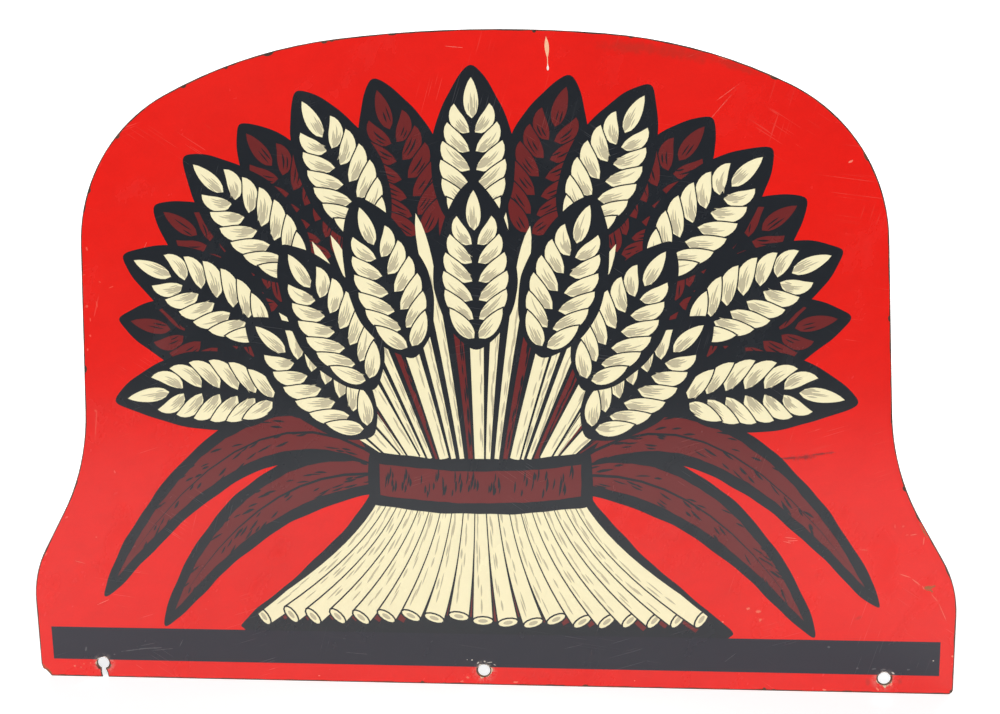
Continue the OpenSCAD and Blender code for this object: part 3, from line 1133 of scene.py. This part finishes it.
    def bundle(self, outer, inner):
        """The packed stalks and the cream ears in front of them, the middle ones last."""
        sizes, rng = self.sizes, self.random
        self.put("black", self.bundle_outline(0.68 * sizes.inner_reach))
        for k, turn in enumerate(self.row(PACKED_STALKS, sizes.outer_turn)):
            line = self.stalk(turn, 0.97 * sizes.inner_reach)
            ink, shade = ("maroon", "black") if k % 4 == 2 else ("cream", "tan")
            end = 0.98 - 0.12 * rng.random()
            self.straw(line, 0, end, 3.4 * MM, 10.5 * MM, ink, shade, point=0.22)
        for turns, reach, start, lap, wide_at_root, wide_at_tip in (
            (outer, 1, 0.45, 0.05, 8 * MM, 10 * MM),
            (inner, sizes.inner_reach, 0, 0.08, 7 * MM, 11 * MM),
        ):
            for turn in turns:
                line = self.stalk(turn, reach)
                end = 1 - sizes.ear_length / line.length() + lap
                if end > start:
                    self.straw(line, start, end, wide_at_root, wide_at_tip, "cream", "tan", edge=4 * MM)
            for turn in sorted(turns, key=lambda turn: -abs(turn)):
                self.ear(turn, reach, "cream", "tan")

    def cut_end(self, line, u):
        """The round cut end of a straw."""
        ahead, across, middle = line.along(u), line.across(u), line.at(u)
        ring = [
            middle + across * (CUT_HALF_WIDE * cos(k * pi / 6)) + ahead * (CUT_HALF_DEEP * sin(k * pi / 6))
            for k in range(12)
        ]
        self.put("black", grown(ring, CUT_EDGE))
        self.put("cream", ring)
        self.put("tan", [middle.lerp(p, 0.5) for p in ring])

    def skirt(self):
        """The straw that spreads out below the tie, a maroon layer behind a cream one."""
        sizes, rng = self.sizes, self.random
        for ink, shade, count, aside, wide in (
            ("maroon", "black", STRAWS - 1, 0.5, 12 * MM),
            ("cream", "tan", STRAWS, 0.0, 15 * MM),
        ):
            for k in range(count):
                s = (k + aside) / (STRAWS - 1) * 2 - 1
                line = Bow(
                    (s * sizes.tie_width * 0.42, sizes.tie_up),
                    (s * sizes.tie_width * 0.52, sizes.tie_up - 55 * MM),
                    (s * (sizes.skirt_width / 2 - 9 * MM), self.skirt_foot + 4 * MM),
                )
                end = 1 - rng.uniform(0, 0.05)
                self.straw(line, 0, end, 5.6 * MM, wide, ink, shade, edge=2.4 * MM)
                if ink == "cream":
                    self.cut_end(line, end)

    def tie(self):
        """The band round the sheaf, with short strokes across it."""
        sizes, rng = self.sizes, self.random
        outline = self.tie_outline()
        self.contour(outline)
        self.put("maroon", grown(outline, -sizes.line / 2, HAND_CUT_INK, rng))
        for _ in range(TIE_STROKES):
            x = rng.uniform(-0.46, 0.46) * sizes.tie_width
            sag = sizes.tie_depth * 0.2 * (1 - (x / sizes.tie_width * 2) ** 2)
            start = Vector((x, self.tie_foot - sag + rng.uniform(5 * MM, sizes.tie_depth - 12 * MM)))
            heading = radians(72) + rng.uniform(-0.1, 0.1)
            self.stroke(start, heading, 0.4, "black", **DARK_STROKE)

    def row(self, count, last):
        """The angles of stalks spread evenly, out to the last one on each side."""
        return [last * (2 * k / (count - 1) - 1) for k in range(count)]

    def draw(self):
        """Draws everything, from the back to the front."""
        sizes = self.sizes
        outer = self.row(sizes.outer_count, sizes.outer_turn)
        inner = self.row(sizes.inner_count, sizes.inner_turn)
        gaps = sizes.outer_count - 1
        rear = self.row(gaps, sizes.outer_turn * (gaps - 1) / gaps)
        leaves = self.leaves()
        for line in leaves:
            for each in (line, line.mirrored()):
                self.contour(each.ribbon(0, 1, sizes.leaf_width, plump, 12))
        self.contour(self.bundle_outline(sizes.inner_reach))
        self.contour(self.skirt_outline())
        for turn in rear:
            self.ear(turn, sizes.rear_reach, "maroon", "black")
        for line in leaves[::-1]:
            self.leaf(line)
            self.leaf(line.mirrored())
        self.bundle(outer, inner)
        self.skirt()
        self.tie()


# Thin solid pieces


def anticlockwise(points):
    """The outline, turned round if it runs clockwise."""
    return points if signed_area(points) > 0 else points[::-1]


# Corners nearer than this become one
WELD = 5e-6


def inked_faces(sheaf):
    """Cuts the painter's list into triangles and sorts them by the ink that shows."""
    outlines = [anticlockwise(p) for p in sheaf.windows]
    windows = len(outlines)
    outlines += [anticlockwise(p) for _, p in sheaf.shapes]
    corners, faces = [], []
    for outline in outlines:
        faces.append(list(range(len(corners), len(corners) + len(outline))))
        corners += outline
    made = delaunay_2d_cdt(corners, [], faces, 1, WELD)
    places, cut, parents = made[0], made[2], made[5]
    shown = {"black": [], "tan": [], "maroon": []}
    for face, above in zip(cut, parents):
        top = max(above, default=-1)
        if top < windows:
            continue
        ink = sheaf.shapes[top - windows][0]
        if min(above) >= windows:
            ink = "black"
        if ink in shown:
            shown[ink].append(face)
    return places, shown


def ink_film(places, faces, low_y, high_y):
    """A thin solid film of ink from its flat faces, between two depths."""
    film = bmesh.new()
    used = {}
    for face in faces:
        for k in face:
            if k not in used:
                used[k] = film.verts.new((places[k].x, low_y, places[k].y + FOOT_Z))
        film.faces.new([used[k] for k in face])
    bmesh.ops.dissolve_limit(
        film, angle_limit=radians(0.5), use_dissolve_boundaries=False,
        verts=film.verts[:], edges=film.edges[:],
    )
    bmesh.ops.triangulate(film, faces=film.faces[:])
    part_pinches(film)
    return thickened(film, high_y - low_y)


def part_pinches(film):
    """Parts corners where two patches of ink touch at a point only."""
    pinched = [v for v in film.verts if sum(1 for e in v.link_edges if e.is_boundary) > 2]
    for vert in pinched:
        bmesh.utils.vert_separate(vert, [e for e in vert.link_edges if e.is_boundary])


def thickened(film, depth):
    """The flat film made a closed solid, with its front where it was."""
    for face in film.faces:
        if face.normal.y > 0:
            face.normal_flip()
    raised = bmesh.ops.extrude_face_region(film, geom=film.faces[:], use_keep_orig=True)
    bmesh.ops.translate(film, verts=new_verts(raised), vec=(0, depth, 0))
    bmesh.ops.recalc_face_normals(film, faces=film.faces[:])
    return film


def new_object(name, data):
    """An object in the scene that holds this mesh, lamp or camera."""
    made = bpy.data.objects.new(name, data)
    bpy.context.scene.collection.objects.link(made)
    return made


def new_mesh(name, shape):
    """The mesh of a finished bmesh."""
    mesh = bpy.data.meshes.new(name)
    shape.to_mesh(mesh)
    shape.free()
    return mesh


def new_verts(result):
    """The corners that a bmesh operator has made."""
    return [e for e in result["geom"] if isinstance(e, bmesh.types.BMVert)]


def new_piece(name, shape, material):
    """Turns a bmesh into a piece that rides on the sheet."""
    mesh = new_mesh(name, shape)
    bake_map(mesh)
    mesh.materials.append(material)
    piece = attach(new_object(name, mesh), "root")
    return piece


# The map's margin, its share of the square, and how far depth shifts it
MAP_EDGE, MAP_SIZE = 0.01, 0.97
MAP_SHIFT = 8


def bake_map(mesh):
    """A flat map seen from the front, shifted with depth so that the thin walls have a width."""
    layer = mesh.uv_layers.new(name="OFBake")
    for corner, loop in zip(layer.uv, mesh.loops):
        x, y, z = mesh.vertices[loop.vertex_index].co
        shift = (y - SHEET_LOW.y) * MAP_SHIFT
        across = (x - SHEET_LOW.x + shift) / SHEET_W
        up = (z - SHEET_LOW.z + shift) / SHEET_H
        corner.vector = (MAP_EDGE + MAP_SIZE * across, MAP_EDGE + MAP_SIZE * up)


def front_outlines(name):
    """The closed outlines of a CAD node's front, across and above the foot."""
    shape = bmesh.new()
    shape.from_mesh(NODES[name].data)
    bmesh.ops.remove_doubles(shape, verts=shape.verts[:], dist=0.001 * MM)
    hidden = [f for f in shape.faces if f.normal.y > -0.9]
    bmesh.ops.delete(shape, geom=hidden, context="FACES")
    left = dict.fromkeys(e for e in shape.edges if e.is_boundary)
    outlines = []
    while left:
        edge = next(iter(left))
        del left[edge]
        start, here = edge.verts
        loop = [start]
        while here is not start:
            loop.append(here)
            edge = next(e for e in here.link_edges if e in left)
            del left[edge]
            here = edge.other_vert(here)
        outlines.append([Vector((v.co.x, v.co.z - FOOT_Z)) for v in loop])
    shape.free()
    return outlines


# The worn edge: the step of its corners, and how much wider it is round a hole
EDGE_STEP = 0.8 * MM
HOLE_RIM = 1.6


def worn_edge(wear):
    """A brown film where the paint has worn off the edge and the hole rims, wider at each chip."""
    rng = random.Random(wear.seed)
    rim = bmesh.new()
    for outline in front_outlines("front_enamel"):
        points = resampled(outline, EDGE_STEP)
        total = perimeter(points)
        n = len(points)
        hole = total < 20 * HOLE_R
        wave = wavering(rng, total)
        plain = wear.edge * (HOLE_RIM if hole else 1)
        widths = [plain * (1 + 0.5 * wave(k / n)) for k in range(n)]
        for _ in range(0 if hole else wear.chips):
            middle, reach = rng.randrange(n), rng.uniform(1, 5)
            deep = wear.chip_depth * rng.random() ** 2.5
            for k in range(-int(reach), int(reach) + 1):
                widths[(middle + k) % n] += deep * (1 - (k / (reach + 1)) ** 2)
        inner = pushed(points, [w if hole else -w for w in widths])
        rings = []
        for ring in (points, inner):
            verts = [rim.verts.new((p.x, FRONT_Y, p.y + FOOT_Z)) for p in ring]
            rings += [rim.edges.new(pair) for pair in sides(verts)]
        bmesh.ops.bridge_loops(rim, edges=rings)
    covered = [f for f in rim.faces if in_bar(f.calc_center_median())]
    bmesh.ops.delete(rim, geom=covered, context="FACES")
    bmesh.ops.triangulate(rim, faces=rim.faces[:])
    rim.normal_update()
    return thickened(rim, FILM_DEPTH)


def in_bar(place):
    """Whether a place on the front lies on the black bar."""
    return BAR_LOW.x < place.x < BAR_HIGH.x and BAR_LOW.z < place.z < BAR_HIGH.z


# The drip's line from its top, in millimetres across and above the foot, and its width
DRIP_LINE = ((54.0, 492.0), (55.0, 480.5), (55.1, 468.2))
DRIP_WIDTH = 3.1 * MM


def paint_drip():
    """A drip of pale paint that ran down from the top edge, with its last drop."""
    line = Bow(*(Vector(p) * MM for p in DRIP_LINE))
    outline = anticlockwise(line.ribbon(0, 1, DRIP_WIDTH, dripped, 60))
    return ink_film(outline, [range(len(outline))], FRONT_Y, FRONT_Y + FILM_DEPTH)


# Stage


CAMERA_TARGET = Vector((17.07 * MM, -1.07 * MM, 260.4 * MM))
CAMERA_YAW, CAMERA_PITCH, CAMERA_ROLL = radians(5.418), radians(11.481), radians(-1.085)
TABLE_PALE = (0.88, 0.88, 0.88, 1)
FLOOR_DARK = (0.18, 0.18, 0.18, 1)
TABLE_FADE = 0.1
HAZE_NEAR, HAZE_FAR = 0.2, 1.2
SWEEP_RADIUS = 0.5
FLOOR_WIDE, FLOOR_NEAR, WALL_TALL = 7.0, -6.0, 4.0
LAMP_TARGET = Vector((0, 0, 0.25))


def make_camera(stage):
    """The camera at the photograph's viewing angle."""
    turn = (
        Matrix.Rotation(CAMERA_ROLL, 3, "Z")
        @ Matrix.Rotation(CAMERA_PITCH, 3, "X")
        @ Matrix.Rotation(CAMERA_YAW, 3, "Y")
    )
    right, down, ahead = (Vector((row[0], row[2], -row[1])) for row in turn)
    data = bpy.data.cameras.new("camera")
    data.lens = stage.lens
    pose = Matrix((right, -down, -ahead)).transposed().to_4x4()
    pose.translation = CAMERA_TARGET + Vector((0, 0, FOOT_Z)) - ahead * stage.distance
    camera = new_object("camera", data)
    camera.matrix_world = pose
    bpy.context.scene.camera = camera


def seen_light(net, seen, reflected):
    """The strength of a glow in the camera's view and in reflections; it lights nothing."""
    path = net.fields("ShaderNodeLightPath")
    in_gloss = net.most(path["Is Glossy Ray"], path["Is Transmission Ray"])
    return path["Is Camera Ray"] * seen + in_gloss * reflected


def pale_table(net, stage):
    """A pale surface that shows nearly white, and still takes shadows."""
    depth, front = net.place_parts()["Y"], stage.table_front
    beyond = net.steps(depth * -1.0, front - TABLE_FADE, front + TABLE_FADE)
    away = net.most(beyond, net.steps(depth, HAZE_NEAR, HAZE_FAR))
    seen, reflected = away * stage.haze + stage.glow, (1.0 - beyond) * stage.sheen
    return {
        "Base Color": net.blend(beyond, TABLE_PALE, FLOOR_DARK),
        "Roughness": 0.6,
        "Emission Color": WHITE,
        "Emission Strength": seen_light(net, seen, reflected),
    }


def make_table(stage):
    """A wide floor, pale as far as the table's front, swept up behind into a backdrop."""
    sweep = bmesh.new()
    curb = stage.backdrop - SWEEP_RADIUS
    ends = [sweep.verts.new((-FLOOR_WIDE / 2, y, FLOOR_Z)) for y in (FLOOR_NEAR, curb)]
    sweep.edges.new(ends)
    bmesh.ops.spin(
        sweep, geom=[ends[1]], cent=(0, curb, FLOOR_Z + SWEEP_RADIUS), axis=(1, 0, 0),
        angle=pi / 2, steps=16,
    )
    top = max(sweep.verts, key=lambda v: v.co.z)
    wall = bmesh.ops.extrude_vert_indiv(sweep, verts=[top])["verts"]
    bmesh.ops.translate(sweep, verts=wall, vec=(0, 0, WALL_TALL))
    side = bmesh.ops.extrude_edge_only(sweep, edges=sweep.edges[:])
    bmesh.ops.translate(sweep, verts=new_verts(side), vec=(FLOOR_WIDE, 0, 0))
    for face in sweep.faces:
        face.smooth = True
    mesh = new_mesh("table", sweep)
    mesh.materials.append(new_material("pale_table", pale_table, stage))
    table = new_object("table", mesh)


def make_lamps(stage):
    """Two soft lamps in front, outside the mirror image of the camera, and one behind."""
    for name, place, power, size in (
        ("key_lamp", (-1.5, -1.7, 1.75), stage.key, 1.3),
        ("fill_lamp", (1.7, -1.5, 1.5), stage.fill, 1.3),
        ("rear_lamp", (0.7, 1.6, 1.7), stage.rear, 1.2),
    ):
        data = bpy.data.lights.new(name, "AREA")
        data.energy, data.size = power, size
        lamp = new_object(name, data)
        lamp.location = place
        lamp.rotation_euler = (LAMP_TARGET - lamp.location).to_track_quat("-Z", "Y").to_euler()


def make_room(stage):
    """A plain room, dim for the paint and paler for the camera."""
    world = bpy.data.worlds.new("room")
    world.use_nodes = True
    net = Net(world.node_tree)
    shade = world.node_tree.nodes["Background"]
    net.put(shade.inputs["Color"], WHITE)
    net.put(shade.inputs["Strength"], seen_light(net, stage.haze, 0.0) + stage.world)
    bpy.context.scene.world = world


# Operators


class SIGN_OT_stage(bpy.types.Operator):
    """Sets up the pale table, the backdrop, the lamps, the room and the camera"""

    bl_idname = "sign.stage"
    bl_label = "Set the stage"

    def execute(self, context):
        stage = context.scene.sign_stage
        make_camera(stage)
        make_table(stage)
        make_lamps(stage)
        make_room(stage)
        context.scene.view_settings.view_transform = "Standard"
        return {"FINISHED"}


class SIGN_OT_sheet(bpy.types.Operator):
    """Browns the bare steel and enamels the back"""

    bl_idname = "sign.sheet"
    bl_label = "Finish the sheet"

    def execute(self, context):
        colours, wear = context.scene.sign_colours, context.scene.sign_wear
        dress("steel_sheet", new_material("bare_steel_edge", bare_steel, colours, 0.55))
        dress("back_enamel", new_material("back_enamel_paint", back_enamel, wear, colours))
        return {"FINISHED"}


class SIGN_OT_ground(bpy.types.Operator):
    """Lays the cream enamel, the red ground and the black bar"""

    bl_idname = "sign.ground"
    bl_label = "Paint the ground"

    def execute(self, context):
        colours, wear = context.scene.sign_colours, context.scene.sign_wear
        cream = (wear, tuple(colours.cream), SCRATCHED_CREAM, SPECKED_CREAM)
        dress("front_enamel", new_material("cream_enamel_paint", aged_ink, *cream, Mottle=0.22))
        dress("red_ink", new_material("red_ink_paint", red_ink, wear, colours))
        dress("name_bar", new_material("bar_ink_paint", bar_ink, wear, colours))
        return {"FINISHED"}


class SIGN_OT_picture(bpy.types.Operator):
    """Prints the sheaf of wheat in maroon, tan and black"""

    bl_idname = "sign.picture"
    bl_label = "Print the sheaf"

    def execute(self, context):
        colours, wear = context.scene.sign_colours, context.scene.sign_wear
        sheaf = Sheaf(context.scene.sign_sheaf)
        sheaf.draw()
        places, shown = inked_faces(sheaf)
        for ink, painted, scratched in (
            ("maroon", tuple(colours.maroon), SCRATCHED_MAROON),
            ("tan", tuple(colours.tan), SCRATCHED_TAN),
            ("black", tuple(colours.black), SCRATCHED_BLACK),
        ):
            slot = ink + "_ink"
            low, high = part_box(slot)
            film = ink_film(places, shown[ink], low.y, high.y)
            paint = (wear, painted, scratched, SPECKED_INK)
            material = new_material(slot + "_paint", aged_ink, *paint, Specks=0.05)
            piece = new_piece("printed_" + ink, film, material)
            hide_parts(slot)
        return {"FINISHED"}


class SIGN_OT_marks(bpy.types.Operator):
    """Wears the sheet's edge and adds the drip of paint"""

    bl_idname = "sign.marks"
    bl_label = "Wear the edge"

    def execute(self, context):
        colours, wear = context.scene.sign_colours, context.scene.sign_wear
        steel = NODES["steel_sheet"].data.materials[0]
        new_piece("worn_edge", worn_edge(wear), steel)
        pale = new_material("spilt_paint", spilt_paint, wear, colours)
        new_piece("paint_drip", paint_drip(), pale)
        return {"FINISHED"}


class SIGN_PT_sidebar(bpy.types.Panel):
    """Lists the sign's sizes, colours, wear and steps"""

    bl_idname = "SIGN_PT_sidebar"
    bl_label = "Printed Steel Sign"
    bl_space_type = "VIEW_3D"
    bl_region_type = "UI"
    bl_category = "Sign"

    def draw(self, context):
        for group in GROUPS:
            box = self.layout.box()
            settings = getattr(context.scene, group)
            for name in settings.bl_rna.properties.keys():
                if name not in ("rna_type", "name"):
                    box.prop(settings, name)
        for step in STEPS:
            self.layout.operator(step.bl_idname)


GROUPS = {
    "sign_sheaf": SheafSizes,
    "sign_colours": PaintColours,
    "sign_wear": WearAmounts,
    "sign_stage": StageSetup,
}
STEPS = (SIGN_OT_stage, SIGN_OT_sheet, SIGN_OT_ground, SIGN_OT_picture, SIGN_OT_marks)


def register():
    """Registers the classes and hangs the settings on the scene."""
    for each in (*GROUPS.values(), *STEPS, SIGN_PT_sidebar):
        bpy.utils.register_class(each)
    for name, group in GROUPS.items():
        setattr(bpy.types.Scene, name, PointerProperty(type=group))


def unregister():
    """Takes the settings off the scene and unregisters the classes."""
    for name in GROUPS:
        delattr(bpy.types.Scene, name)
    for each in (SIGN_PT_sidebar, *STEPS[::-1], *GROUPS.values()):
        bpy.utils.unregister_class(each)


def main():
    """Makes the whole scene."""
    register()
    bpy.ops.sign.stage()
    bpy.ops.sign.sheet()
    bpy.ops.sign.ground()
    bpy.ops.sign.picture()
    bpy.ops.sign.marks()


if __name__ == "__main__":
    main()
